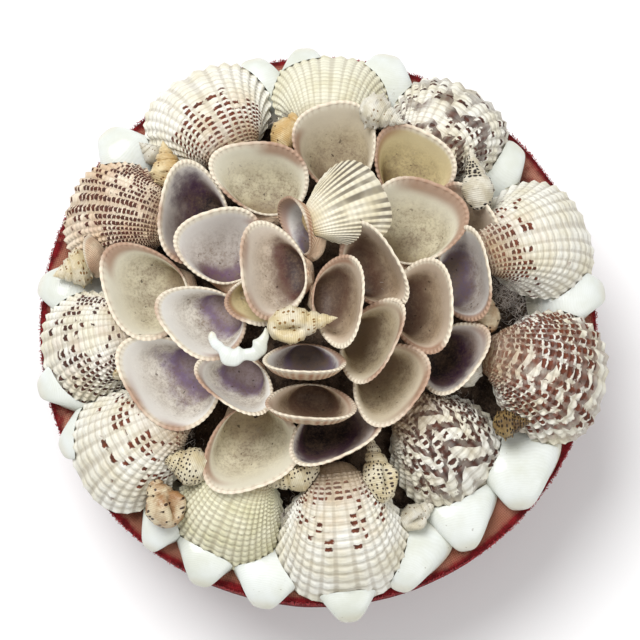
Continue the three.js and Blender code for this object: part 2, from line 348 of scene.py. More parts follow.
def glue_material():
    """Dusty paste and fibre under the shells."""
    recipe = Recipe("glue_bed")
    clumps = recipe.noise(300, 0.9, 5.0, 0.7)
    grains = recipe.noise(1600, 4.4, 3.0, 0.7)
    recipe.ground(clumps.rise(0.35, 0.65), PASTE, FIBRE)
    recipe.paint(grains.rise(0.55, 0.7) * 0.6, GRAIN)
    return recipe.finish(0.95, clumps + grains * 0.5, 0.9)


def lint_material():
    recipe = Recipe("lint")
    colour = tuple(settings().lint.colour)
    recipe.ground(recipe.noise(240, 6.0, 2.0).rise(0.35, 0.65), shaded(colour, 0.45), colour)
    return recipe.finish(1.0)


BEAK_TAN = srgb(168, 132, 88)
GROWTH_LINE = srgb(120, 108, 84)
# Painted shade in the grooves between a cockle's ribs.
GROOVE_SHADE = srgb(122, 100, 70)
# Painted shade in the gaps between a cockle's beads.
BEAD_GAP_SHADE = srgb(142, 124, 94)


def cockle_material(name, shell, seed):
    """A ribbed cockle: brown dashes between the beads of its ribs, chevrons across them, and
    painted shade in its grooves and between its beads.
    """
    recipe = Recipe(name)
    across, along = recipe.mapped()
    rib = across * shell.ribs
    row = along * shell.beads
    crest, bead = ripple(rib - 0.25), ripple(row - 0.25)
    rough_edge = recipe.noise(1100, seed, 2.0) - 0.5
    patch = recipe.noise(shell.patch, seed * 1.3, 2.0)
    reach = along.rise(shell.start, shell.full) * (1 - along.rise(shell.end, shell.end + 0.15))
    wanted = (reach * shell.marks + shell.scatter) * patch.rise(0.32, 0.58)
    gap = row + 0.5
    picked = (wanted - recipe.chance(rib.floor(), gap.floor(), seed)).rise(0.0, 0.04)
    sideways = ((rib.rest() - 0.5).abs() + rough_edge * 0.6).rise(0.26, 0.4)
    lengthways = ((gap.rest() - 0.5).abs() + rough_edge * 0.6).rise(shell.dash,
                                                                   shell.dash + 0.12)
    dashes = picked * (1 - sideways) * (1 - lengthways)
    tent = ((rib * 0.25).rest() - 0.5).abs() * 2
    step = recipe.chance(rib.floor(), 0.0, seed + 5.0) * 0.3
    band = (row * shell.pace + tent * shell.zigzag + step + patch * 1.1).rest()
    chevron = (1 - (band + rough_edge * 0.5).rise(shell.broad, shell.broad + 0.08))
    chevron = chevron * (reach + shell.scatter).cut(1.0) * shell.chevrons
    chevron = chevron * patch.rise(0.3, 0.42) * (0.75 + crest * 0.25)
    brown = recipe.mix(recipe.noise(700, seed, 2.0).rise(0.35, 0.65), shell.mark,
                       shaded(shell.mark, 0.45))
    tone = recipe.noise(110, seed + 2.0, 4.0, 0.6).rise(0.35, 0.68)
    halo = recipe.noise(190, seed + 7.0, 3.0).rise(0.4, 0.7) * reach
    lines = ((along * 150.0 + tone * 2.0) * 2.0).sin() * 0.5 + 0.5
    recipe.ground(tone, shell.base, shell.tone)
    recipe.paint(halo * shell.marks * 0.55, shell.halo)
    recipe.paint(along.rise(0.5, 0.9) * 0.55, BEAK_TAN)
    recipe.paint(lines * 0.1, GROWTH_LINE)
    # Painted shade in the grooves between the ribs.
    recipe.paint((1 - crest).rise(0.6, 1.0) * 0.26, GROOVE_SHADE)
    # Painted shade in the gaps between the beads.
    recipe.paint((1 - bead).rise(0.6, 1.0) * 0.25, BEAD_GAP_SHADE)
    recipe.dust(along.rise(0.45, 1.0) * 0.9 + 0.08)
    recipe.paint(dashes.top(chevron) * (0.97 - along.rise(0.6, 1.0) * 0.3), brown)
    return recipe.finish(0.6, recipe.noise(2600, 1.0, 2.0) * 0.5 + lines * 0.6, 0.07, 0.04)


PEACH, RUSSET_RIB, RUSSET_RING = srgb(226, 204, 174), srgb(176, 118, 88), srgb(140, 84, 62)
CHALK = srgb(224, 210, 182)
# The first is painted shade between the teeth of a valve's margin, the second a rusty stain near
# it.
TOOTH_GAP_SHADE, RUSTY_RIM = srgb(158, 122, 92), srgb(150, 100, 72)


def petal_material(name, shell):
    """A cupped valve: stained inside, with painted shade deep in the hollow and between the
    teeth of its pale margin, and peach ribs outside.
    """
    recipe = Recipe(name)
    across, along = recipe.mapped()
    depth = -along
    wander = (recipe.noise(75, shell.seed, 3.0) - 0.5) * 1.3
    wisps = (recipe.noise(260, shell.seed + 9.0, 4.0, 0.7) - 0.5) * 0.45
    lean = ((across + shell.side) * TAU).sin() * 0.16
    bottom = depth + wander * 0.5 + wisps + lean
    stain = bottom.rise(shell.start, shell.start + 0.34)
    band = stain * (1 - bottom.rise(shell.start + 0.2, shell.start + 0.55))
    tone = recipe.noise(90, shell.seed + 4.0, 4.0, 0.6).rise(0.3, 0.7)
    recipe.ground(depth.rise(0.03, 0.3) * 0.75 + tone * 0.25, shell.rim, shell.cup)
    # Painted shade, in the colour deep, towards the bottom of the hollow.
    recipe.paint(depth.rise(0.25, 0.9) * 0.85, shell.deep)
    recipe.paint(stain * shell.depth, shell.stain)
    recipe.paint(band * shell.band_depth, shell.band)
    recipe.dust(depth.rise(0.05, 0.4) * 1.25)
    inner = recipe.colour
    rib = ripple(across * PETAL.fine_ribs)
    rings = ripple(along * 16.0 + wander)
    recipe.ground(rib * 0.7, PEACH, RUSSET_RIB)
    recipe.paint(rings * rib * 0.45, RUSSET_RING)
    recipe.paint(recipe.noise(160, 2.0, 3.0).rise(0.42, 0.68) * 0.55, CHALK)
    recipe.dust(0.6)
    inside = depth.rise(0.0, 0.01)
    recipe.paint(inside, inner)
    edge = 1 - along.abs().rise(0.015, 0.05)
    recipe.paint(edge * 0.8, shell.edge)
    # Painted shade between the teeth of the margin.
    recipe.paint(edge * rib.rise(0.6, 1.0) * 0.15, TOOTH_GAP_SHADE)
    rusty = recipe.noise(45, shell.seed + 2.0, 1.0).rise(0.47, 0.58)
    recipe.paint((1 - along.abs().rise(0.05, 0.14)) * rusty * 0.7, RUSTY_RIM)
    relief = recipe.noise(1200, 1.0, 3.0) * 0.4 + rib * (1 - inside) + rib * edge * 0.4
    return recipe.finish(0.55, relief, 0.12, 0.04)


FAN_WHITE, FAN_CREAM = srgb(238, 232, 212), srgb(222, 212, 182)
# The first is the grey-brown between the ribs, the second painted shade in the grooves.
FAN_STREAK, FAN_GROOVE_SHADE = srgb(84, 76, 68), srgb(134, 116, 84)
FAN_BEAK, FAN_RING = srgb(190, 160, 104), srgb(140, 128, 104)


def fan_material():
    """A scallop: ivory ribs, grey-brown between them towards the margin, painted shade in the
    grooves, and a yellow beak.
    """
    recipe = Recipe("fan_scallop")
    across, along = recipe.mapped()
    rib = ripple(across * FAN.fine_ribs - 0.25)
    rings = ripple(along * 22.0)
    outwards = 1 - along.rise(0.15, 0.7)
    streak = recipe.noise(110, 3.0, 2.0).rise(0.3, 0.55)
    recipe.ground(recipe.noise(200, 1.0, 3.0).rise(0.3, 0.7), FAN_WHITE, FAN_CREAM)
    recipe.paint((1 - rib).rise(0.25, 0.8) * outwards * streak * 0.9, FAN_STREAK)
    # Painted shade in the grooves between the ribs.
    recipe.paint((1 - rib).rise(0.6, 1.0) * 0.12, FAN_GROOVE_SHADE)
    recipe.paint(along.rise(0.55, 0.95) * 0.75, FAN_BEAK)
    recipe.paint(rings * 0.18, FAN_RING)
    recipe.dust(0.12)
    return recipe.finish(0.45, rib + rings * 0.3, 0.1, 0.12)


CLAM_WHITE, CLAM_SHADE = srgb(222, 226, 223), srgb(206, 209, 197)
CLAM_RING, CLAM_SPECK = srgb(176, 178, 166), srgb(110, 94, 74)
CLAM_EDGE, CLAM_BEAK = srgb(206, 196, 162), srgb(214, 204, 174)


def clam_material(name, seed):
    """Smooth chalky white, with fine rings of growth and a little yellow at the inner edge."""
    recipe = Recipe(name)
    _, along = recipe.mapped()
    tone = recipe.noise(70, seed, 4.0, 0.6).rise(0.35, 0.7)
    rings = ripple(along * 34.0 + recipe.noise(90, 2.0, 3.0) * 6.0)
    recipe.ground(tone, CLAM_WHITE, CLAM_SHADE)
    recipe.paint(rings * 0.09, CLAM_RING)
    recipe.paint((1 - along.abs().rise(0.02, 0.13)) * 0.5, CLAM_EDGE)
    recipe.paint(along.rise(0.7, 1.0) * 0.35, CLAM_BEAK)
    recipe.paint(recipe.noise(900, seed, 2.0).rise(0.71, 0.76) * 0.5, CLAM_SPECK)
    return recipe.finish(0.34, rings * 0.35 + tone * 0.2, 0.05, 0.25)


SPIRAL_LINE = srgb(134, 106, 72)


def snail_material(name, shell):
    """A small snail shell with rows of brown dots and fine spiral lines."""
    recipe = Recipe(name)
    across, along = recipe.mapped()
    column = across * shell.columns
    row = along * shell.rows + across * 1.5
    cell = column.floor(), row.floor()
    rough_edge = recipe.noise(1300, shell.seed, 2.0) - 0.5
    shift = recipe.chance(*cell, shell.seed + 3.0) * 0.5 - 0.25
    drift = recipe.chance(*cell, shell.seed + 6.0) * 0.5 - 0.25
    aside = (column.rest() - 0.5 + shift) ** 2.0
    ahead = (row.rest() - 0.5 + drift) ** 2.0
    dot = 1 - ((aside + ahead) ** 0.5 + rough_edge * 0.3).rise(shell.dot, shell.dot + 0.1)
    patch = recipe.noise(150, shell.seed, 2.0).rise(0.38, 0.55)
    picked = (shell.spotted * patch - recipe.chance(*cell, shell.seed)).rise(0, 0.05)
    lines = ripple(along * 34.0 + across * 2.0)
    recipe.ground(recipe.noise(230, shell.seed + 1.0, 4.0, 0.6).rise(0.35, 0.65), shell.base,
                  shell.tone)
    recipe.paint(lines * 0.22, SPIRAL_LINE)
    recipe.paint(dot * picked, shell.mark)
    recipe.dust(0.32)
    return recipe.finish(0.4, lines * 0.7 + recipe.noise(1800, 1.0, 3.0) * 0.5, 0.09, 0.15)


# ---------------------------------------------------------------- looks

def look(**values):
    return SimpleNamespace(**values)


WHITE = srgb(241, 240, 231)
IVORY = srgb(226, 220, 198)
RUST = srgb(106, 42, 12)
UMBER = srgb(78, 32, 14)
PINK = srgb(206, 172, 150)
SAND = srgb(206, 180, 142)

# Marks grow from "start" to "full" and stop at "end", counted from the margin to the beak.
# "dash" is half a dash's share of its bead, "patch" how close the clusters of marks lie, and
# "broad", "pace" and "zigzag" shape the chevrons.
PLAIN = dict(base=WHITE, tone=IVORY, mark=RUST, halo=SAND, marks=0.0, scatter=0.0, start=0.0,
             full=0.3, end=1.2, ribs=30, beads=34, dash=0.22, patch=70, chevrons=0.0,
             zigzag=0.8, pace=0.2, broad=0.4, rib=1.0)


def cockle(**values):
    return look(**{**PLAIN, **values})


COCKLE_LOOKS = {
    1: cockle(base=srgb(232, 230, 210), tone=srgb(216, 211, 182), ribs=38, beads=27, rib=0.7),
    2: cockle(mark=UMBER, marks=0.4, scatter=0.3, start=0.0, full=0.5, ribs=29, beads=19,
              chevrons=0.95, broad=0.36, pace=0.2, zigzag=0.5, patch=60),
    3: cockle(marks=0.85, scatter=0.1, start=0.28, full=0.6, ribs=30, beads=20, patch=60,
              dash=0.27, rib=0.85),
    4: cockle(mark=RUST, marks=0.6, scatter=0.42, start=0.02, full=0.3, ribs=31, beads=21,
              chevrons=0.95, broad=0.46, pace=0.42, zigzag=0.6, dash=0.3, rib=1.2),
    5: cockle(mark=UMBER, marks=0.35, scatter=0.25, start=0.0, full=0.3, ribs=28, beads=18,
              chevrons=1.0, broad=0.36, pace=0.31, zigzag=0.9),
    6: cockle(mark=RUST, marks=0.95, scatter=-0.12, start=0.3, full=0.45, end=0.8, ribs=29,
              beads=20, dash=0.22, patch=90),
    7: cockle(base=srgb(230, 227, 202), tone=srgb(210, 206, 170), ribs=38, beads=25, rib=0.9),
    8: cockle(marks=0.5, scatter=0.1, start=0.1, full=0.6, ribs=28, beads=19, patch=110,
              dash=0.24, halo=srgb(186, 148, 104)),
    9: cockle(mark=UMBER, marks=0.7, scatter=0.2, start=0.0, full=0.35, ribs=34, beads=22,
              dash=0.28, halo=PINK),
    10: cockle(base=srgb(234, 222, 202), tone=srgb(212, 186, 156), mark=srgb(84, 32, 16),
               marks=1.0, scatter=0.7, start=0.0, full=0.25, ribs=40, beads=28, dash=0.33,
               halo=PINK, patch=40),
    11: cockle(marks=1.0, scatter=0.03, start=0.25, full=0.5, ribs=28, beads=20, patch=110,
               dash=0.22),
}


# The colours are the margin, the cup, the painted shade deep in the hollow, the stain and the
# band.
def petal(rim, cup, deep, stain, band, **values):
    shell = dict(edge=srgb(232, 224, 204), depth=0.8, band_depth=0.4, start=0.4, seed=1.0,
                 side=0.0)
    return look(rim=srgb(*rim), cup=srgb(*cup), deep=srgb(*deep), stain=srgb(*stain),
                band=srgb(*band), **{**shell, **values})


PETAL_LOOKS = {
    "cream": petal((228, 224, 206), (204, 196, 168), (166, 152, 118), (132, 112, 80),
                   (160, 144, 112), start=0.55, depth=0.6),
    "yellow": petal((222, 208, 166), (196, 180, 134), (142, 122, 80), (104, 84, 52),
                    (134, 112, 72), start=0.5, seed=8.0),
    "beige": petal((222, 212, 190), (186, 172, 142), (134, 116, 88), (98, 80, 58),
                   (128, 106, 82), start=0.42, depth=0.8, seed=2.0),
    "brown": petal((222, 206, 186), (168, 148, 122), (100, 78, 60), (66, 46, 38),
                   (100, 68, 54), start=0.3, depth=0.9, band_depth=0.5, seed=3.0),
    "russet": petal((226, 216, 202), (200, 184, 164), (128, 104, 92), (52, 34, 34),
                    (104, 62, 56), start=0.24, depth=0.95, band_depth=0.7, seed=4.0, side=0.4),
    "plum": petal((228, 224, 218), (198, 190, 182), (138, 122, 114), (84, 62, 64),
                  (98, 62, 100), start=0.3, depth=0.85, band_depth=0.85, seed=5.0, side=0.2),
    "violet": petal((234, 232, 226), (212, 206, 194), (172, 160, 144), (116, 92, 116),
                    (96, 70, 122), start=0.42, depth=0.6, band_depth=0.85, seed=9.0, side=0.7),
    "dark": petal((222, 216, 208), (150, 132, 124), (76, 60, 62), (30, 22, 26),
                  (78, 44, 76), start=0.16, depth=0.96, band_depth=0.7, seed=6.0, side=0.6),
    "grey": petal((228, 226, 220), (176, 168, 162), (118, 106, 100), (78, 66, 66),
                  (100, 84, 124), start=0.3, depth=0.85, band_depth=0.55, seed=7.0),
}


def snail(base, tone, mark, **values):
    shell = dict(columns=22, rows=15, dot=0.2, spotted=0.9, seed=1.0)
    return look(base=srgb(*base), tone=srgb(*tone), mark=srgb(*mark), **{**shell, **values})


SNAIL_LOOKS = {
    "cream": snail((234, 226, 202), (212, 196, 154), (134, 98, 48), spotted=0.35, dot=0.26),
    "dotted": snail((226, 220, 196), (204, 190, 152), (44, 28, 22), spotted=1.3, seed=2.0),
    "ochre": snail((234, 216, 172), (204, 170, 112), (120, 82, 44), spotted=0.3, seed=3.0),
    "striped": snail((226, 222, 206), (196, 188, 164), (26, 22, 24), columns=13, rows=22,
                     dot=0.36, spotted=1.5, seed=6.0),
    "banded": snail((222, 208, 176), (160, 118, 78), (54, 34, 24), columns=16, spotted=0.5,
                    dot=0.26, seed=4.0),
    "golden": snail((158, 134, 86), (88, 66, 38), (36, 24, 16), columns=16, dot=0.3,
                    spotted=1.2, seed=7.0),
    "pale": snail((232, 230, 218), (208, 202, 180), (134, 112, 84), spotted=0.2, seed=5.0),
}


# ---------------------------------------------------------------- meshes

def mesh_from_rows(name, rows, across, along):
    """A closed skin: the first and last rows shrink to a pole, and each row closes on itself."""
    count, around, _ = rows.shape
    points = np.concatenate([rows[:1].mean(axis=1), rows[1:-1].reshape(-1, 3),
                             rows[-1:].mean(axis=1)])
    last = len(points) - 1

    def index(row, step):
        if row == 0:
            return 0
        if row == count - 1:
            return last
        return 1 + (row - 1) * around + step % around

    faces, corners = [], []
    for row in range(count - 1):
        low, high = along[row], along[row + 1]
        for step in range(around):
            near, far = across[step], across[step + 1]
            face = [index(row, step), index(row, step + 1), index(row + 1, step + 1),
                    index(row + 1, step)]
            map_of = [(near, low), (far, low), (far, high), (near, high)]
            if row == 0:
                face, map_of = face[1:], map_of[1:]
            elif row == count - 2:
                face, map_of = face[:3], map_of[:3]
            faces.append(face)
            corners.extend(map_of)
    a = points[[face[0] for face in faces]]
    b = points[[face[1] for face in faces]]
    c = points[[face[2] for face in faces]]
    d = points[[face[-1] for face in faces]]
    volume = (np.cross(a, b) * c).sum() + (np.cross(a, c) * d).sum()
    if volume < 0:
        starts = np.cumsum([0] + [len(face) for face in faces])
        corners = [pair for i, face in enumerate(faces)
                   for pair in corners[starts[i]:starts[i + 1]][::-1]]
        faces = [face[::-1] for face in faces]
    mesh = bpy.data.meshes.new(name)
    mesh.from_pydata(points.tolist(), [], faces)
    layer = mesh.uv_layers.new(name="shell")
    layer.data.foreach_set("uv", np.array(corners, np.float32).ravel())
    mesh.update()
    return mesh


def seat(where):
    """Where a shell sits: its middle in polar form about the lid, its height above the lid, the
    heading of its margin away from the beak, the pitch that raises the margin, and its roll."""
    turn = math.radians(where.bearing)
    place = Matrix.Translation((where.reach * math.cos(turn), where.reach * math.sin(turn),
                                LID_TOP + where.rise))
    return (place @ Matrix.Rotation(math.radians(where.heading - 90), 4, "Z")
            @ Matrix.Rotation(math.radians(where.pitch), 4, "X")
            @ Matrix.Rotation(math.radians(where.roll), 4, "Y"))


def spot(bearing, reach, rise, heading, pitch=0, roll=0):
    return look(bearing=bearing, reach=reach, rise=rise, heading=heading, pitch=pitch, roll=roll)


def placed(mesh, where):
    mesh.transform(Matrix.Scale(MM, 4) @ seat(where))
    return mesh


def object_of(mesh):
    piece = bpy.data.objects.new(mesh.name, mesh)
    bpy.context.scene.collection.objects.link(piece)
    return piece


# The valves follow the same log spiral as the solids: the outline turns about the hinge line
# as it shrinks. "tail" is where the spiral of the beak ends.
BEAK_OFFSET = 0.02
BEAK_BREADTH = 0.75
OUTLINE_FULLNESS = 0.8
MIDDLE = 0.45
COCKLE = look(curl=0.75, wall=1.6, taper=0.12, full=105, tail=200, cup=90, steps=4, rows=34,
              inner_rows=8, tooth=0.12, bead=0.8)
PETAL = look(curl=0.8, wall=0.75, taper=0.23, full=105, tail=150, cup=98, fine_ribs=46,
             steps=3, beads=0, rows=17, inner_rows=15, tooth=0.13, bead=0)
CLAM = look(curl=1.1, wall=1.5, taper=0.45, full=95, tail=130, cup=80, fine_ribs=0,
            steps=64, beads=0, rows=22, inner_rows=8, tooth=0, bead=0)
FAN = look(curl=1.1, wall=1.1, taper=0.3, full=95, tail=130, cup=85, fine_ribs=36,
           steps=6, beads=0, rows=34, inner_rows=8, tooth=0.2, bead=0)
BEAD_STEPS = 4
TAIL_ROWS = 6
ROOM_SIDES, ROOM_ROWS = 40, 14
# Where a valve's hollow is deepest, and how ribs and teeth fade towards the beak and inwards.
CENTRE_RISE = 0.15
HINGE_FREE = 0.5
CREST_POWER = 0.7
RIB_FADE = 0.6
TOOTH_FADE = 9
# The margin is rounded over by two rows, and the hollow is closed by rings: how far out each
# lies, and its share of the sag.
BRIM_DROP = 0.22
SAG = 0.1
FLOOR_RINGS = (0.7, 0.6), (0.35, 0.9), (0, 1)


def valve_points(kind, size, angles, sides):
    """Rows of points, one row for each angle of the spiral, in millimetres."""
    angle = angles[:, None]
    side = sides[None, :]
    shrink = np.exp(-kind.curl * angle)
    along = size.length * (BEAK_OFFSET + (1 - BEAK_OFFSET) * (1 - np.cos(side)) / 2)
    wide = np.sign(np.sin(side)) * np.abs(np.sin(side)) ** OUTLINE_FULLNESS
    across = size.width / 2 * wide * (1 - kind.taper * np.cos(side)) + size.skew * along
    return np.stack([across * shrink ** BEAK_BREADTH, along * np.cos(angle) * shrink,
                     along * np.sin(angle) * shrink], axis=-1)


def outward(points, centre):
    """The direction that each point of a closed row faces."""
    down = np.gradient(points, axis=0)
    round_ = np.roll(points, -1, axis=1) - np.roll(points, 1, axis=1)
    normal = np.cross(down, round_)
    normal /= np.linalg.norm(normal, axis=2, keepdims=True) + 1e-9
    facing = np.sum(normal * (points - centre), axis=2).mean()
    return normal if facing > 0 else -normal


def valve_mesh(name, kind, size, rib_height=0.0, room=False):
    """A valve with its beak towards -Y, its margin in the XY plane and its back up. As a room it
    is filled and grown by the gap."""
    around = ROOM_SIDES if room else max(kind.fine_ribs, 1) * kind.steps
    rows = ROOM_ROWS if room else max(kind.rows, kind.beads * BEAD_STEPS)
    shares = np.arange(around) / around
    sides = shares * TAU
    tail = 0 if room else TAIL_ROWS
    full, end = math.radians(kind.full), math.radians(kind.tail)
    angles = np.concatenate([np.linspace(end, full, tail, endpoint=False),
                             np.linspace(full, 0, rows)])
    middle = np.array([size.skew * MIDDLE * size.length, MIDDLE * size.length, 0.0])
    centre = middle + [0, 0, CENTRE_RISE * size.length]
    half = size.length / 2
    outer = valve_points(kind, size, angles, sides)
    growth = angles / full
    free = np.clip((1 - np.cos(sides)) / HINGE_FREE, 0, 1)
    crest = 0.5 - 0.5 * np.cos(shares * max(kind.fine_ribs, 1) * TAU)
    if rib_height and not room:
        height = rib_height * crest ** CREST_POWER
        knot = 1 - kind.bead * np.cos(growth * kind.beads * TAU) * (kind.beads > 0)
        fade = np.exp(-RIB_FADE * kind.curl * angles)
        relief = height[None, :] * knot[:, None] * fade[:, None]
        outer = outer + outward(outer, centre) * (relief * free)[..., None]
    outer = middle + (outer - middle) * (1 + (GAP + rib_height if room else 0) / half)
    if room:
        lid = outer[-1:] - [0, 0, GAP]
        skin = np.concatenate([outer[:1], outer, lid, lid])
        along = np.zeros(len(skin))
    else:
        cup = np.linspace(0, math.radians(kind.cup), kind.inner_rows)
        inner = valve_points(kind, size, cup, sides)
        inner = middle + (inner - middle) * (1 - kind.wall / half)
        teeth = kind.tooth * crest[None, :] * np.exp(-TOOTH_FADE * cup)[:, None] * free
        inner = inner + (inner - middle) / half * teeth[..., None]
        drop = [0, 0, BRIM_DROP * kind.wall]
        brim = (outer[-1:] * 2 + inner[:1]) / 3 - drop
        lip = (outer[-1:] + inner[:1] * 2) / 3 - drop
        last = inner[-1:]
        hub = last.mean(axis=1, keepdims=True)
        floor = np.concatenate([hub + (last - hub) * out + (hub - middle) * SAG * share
                                for out, share in FLOOR_RINGS])
        skin = np.concatenate([outer[:1], outer, brim, lip, inner, floor])
        inner_growth = -cup / cup[-1]
        along = np.concatenate([growth[:1], growth, [0, 0], inner_growth, [-1, -1, -1]])
        along = np.where(np.arange(len(along)) > len(angles) + 1, along - 1e-3, along)
    across = np.append(shares, 1.0)
    return mesh_from_rows(name, skin - middle, across, along)


# A snail shell: girth along its length, from the tip, with whorls that wind round it.
WHORLS = 6.6
WHORL_GROWTH = 1.5
BODY_SHARE = 0.62
CANAL_TAPER = 0.65
SNAIL_SIDES, SNAIL_ROWS = 56, 60
SEAM_DEPTH = 0.26
SPIRE_SHARE = 0.42
KNOB_PLACE, KNOB_BREADTH, KNOBS_ROUND = 0.25, 0.12, 7
MOUTH_DEPTH, MOUTH_BREADTH, LIP_HEIGHT, LIP_ASIDE = 0.62, 0.28, 0.16, 2.1


def snail_mesh(name, size, knobs=0.0, mouth=True):
    """It lies along Y with its tip at +Y. The seam between whorls winds round the spire, and the
    mouth is a slit with a thick lip on the body."""
    around = SNAIL_SIDES
    shares = np.arange(around) / around
    turn = (shares * TAU)[None, :]
    share = np.linspace(0.002, 0.998, SNAIL_ROWS)[:, None]
    winding = WHORLS * share ** (1 / WHORL_GROWTH) + turn / TAU
    phase = winding % 1.0
    past = np.clip((share - BODY_SHARE) / (1 - BODY_SHARE), 0, 1)
    girth = np.minimum(share / BODY_SHARE, 1.0) ** 0.95 - CANAL_TAPER * past ** 2
    girth = girth * np.clip((1 - share) / 0.05, 0, 1) ** 0.5
    spire = 1 - np.clip((share - SPIRE_SHARE) / 0.1, 0, 1)
    bulge = 1 - SEAM_DEPTH * spire * (1 - np.sin(phase * math.pi)) ** 2
    radius = size.width / 2 * girth * bulge
    ring = np.exp(-(((phase - KNOB_PLACE) / KNOB_BREADTH) ** 2))
    bump = np.maximum(0, np.cos(turn * KNOBS_ROUND))
    radius = radius * (1 + knobs * ring * bump * np.sqrt(share))
    if mouth:
        slit = (turn - 1.0 - 0.5 * (share - 0.66)) / MOUTH_BREADTH
        length = (share - 0.68) / 0.24
        reach = np.clip(1 - length ** 2, 0, 1)
        opening = np.exp(-slit ** 2) * reach
        lip = np.exp(-((slit + LIP_ASIDE) ** 2)) * reach
        radius = radius * (1 - MOUTH_DEPTH * opening + LIP_HEIGHT * lip)
    x = radius * np.cos(turn)
    z = radius * np.sin(turn)
    y = size.length * (0.5 - share) * np.ones_like(turn)
    skin = np.stack([x, y, z], axis=-1)
    tip = np.array([[[0, size.length / 2, 0]]]) * np.ones((1, around, 1))
    skin = np.concatenate([tip, skin, -tip])
    along = np.concatenate([[0], share[:, 0], [1]])
    return mesh_from_rows(name, skin, np.append(shares, 1.0), along)


CLOTH_SIDES = 240
CLOTH_STEP = 3.0
EDGE_WAVES = range(9, 60, 4)
EDGE_SEED = 5


def turned_mesh(name, profile, thread, wander=0.0):
    """A profile of (reach, height) points turned about Z, with an edge that wanders. The map
    counts threads: round the piece, and along the profile."""
    around = CLOTH_SIDES
    profile = np.array(profile, float)
    turn = np.arange(around) / around * TAU
    rng = np.random.default_rng(EDGE_SEED)
    wave = sum(rng.normal() * np.cos(turn * k + rng.uniform(0, TAU)) / k ** 0.5
               for k in EDGE_WAVES) * wander
    reach = profile[:, 0][:, None] + (profile[:, 0] > LID_RADIUS - 0.5)[:, None] * wave[None, :]
    skin = np.stack([reach * np.cos(turn), reach * np.sin(turn),
                     profile[:, 1][:, None] * np.ones(around)], axis=-1)
    walked = np.concatenate([[0], np.cumsum(np.hypot(*np.diff(profile, axis=0).T))])
    threads = round(TAU * profile[:, 0].max() / thread)
    across = np.arange(around + 1) / around * threads
    return mesh_from_rows(name, skin, across, walked / thread)


# ---------------------------------------------------------------- fitting shells together

# The rooms of the shells that are set already, each with its lowest and highest corner.
taken = []


def limits(mesh):
    points = np.empty(len(mesh.vertices) * 3, np.float32)
    mesh.vertices.foreach_get("co", points)
    points = points.reshape(-1, 3)
    return points.min(axis=0), points.max(axis=0)


def largest_part(mesh):
    """Keeps the largest connected part of a mesh."""
    work = bmesh.new()
    work.from_mesh(mesh)
    seen, parts = set(), []
    for start in work.verts:
        if start in seen:
            continue
        part, todo = [], [start]
        seen.add(start)
        while todo:
            vert = todo.pop()
            part.append(vert)
            for edge in vert.link_edges:
                other = edge.other_vert(vert)
                if other not in seen:
                    seen.add(other)
                    todo.append(other)
        parts.append(part)
    parts.sort(key=len)
    bmesh.ops.delete(work, geom=[v for part in parts[:-1] for v in part], context="VERTS")
    work.to_mesh(mesh)
    work.free()
    return mesh


def carved(piece):
    """Cuts the rooms of the shells set before out of a piece."""
    low, high = limits(piece.data)
    near = [room for room, room_low, room_high in taken
            if (low < room_high).all() and (room_low < high).all()]
    for room in near:
        cut = piece.modifiers.new("cut", "BOOLEAN")
        cut.operation = "DIFFERENCE"
        cut.solver = "MANIFOLD"
        cut.object = room
    if near:
        depsgraph = bpy.context.evaluated_depsgraph_get()
        mesh = bpy.data.meshes.new_from_object(piece.evaluated_get(depsgraph),
                                               depsgraph=depsgraph)
        piece.modifiers.clear()
        if len(mesh.polygons) == 0:
            raise RuntimeError(f"nothing is left of {piece.name}")
        mesh.name = piece.name
        piece.data = largest_part(mesh)
    return piece


def take(mesh):
    room = object_of(mesh)
    room.hide_render = True
    taken.append((room, *limits(mesh)))


# How far, in millimetres, a piece may reach outside the solid that it stands for.
STRAY = 6.0


def check_place(piece, node):
    """Stops the script where a piece has left the place of the solid that it stands for."""
    low, high = limits(piece.data)
    solid_low, solid_high = (np.array(corner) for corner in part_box(node))
    stray = max((solid_low - low).max(), (high - solid_high).max()) / MM
    if stray > STRAY:
        raise RuntimeError(f"{piece.name} stands {stray:.1f} mm outside {node}")


SHARP = math.radians(62)


def dress(piece, materials, node=None):
    """Gives a piece its finish and its body; where it stands for a node, checks its place
    against that solid and hides the solid.
    """
    piece.data.materials.clear()
    for material in materials if isinstance(materials, list) else [materials]:
        piece.data.materials.append(material)
    piece.data.shade_smooth()
    piece.data.set_sharp_from_angle(angle=SHARP)
    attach(piece, BODY)
    if node:
        check_place(piece, node)
        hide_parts(node)
    return piece


def set_valve(name, kind, size, where, material, node=None, rib=0.0):
    piece = object_of(placed(valve_mesh(name, kind, size, rib), where))
    carved(piece)
    take(placed(valve_mesh(f"room_{name}", kind, size, rib, room=True), where))
    return dress(piece, material, node)


def set_snail(name, size, where, material, node=None, knobs=0.0, mouth=True):
    piece = object_of(placed(snail_mesh(name, size, knobs, mouth), where))
    carved(piece)
    return dress(piece, material, node)


def valve_size(length, width, skew=0.0):
    return look(length=length, width=width, skew=skew)


# ---------------------------------------------------------------- where the shells sit

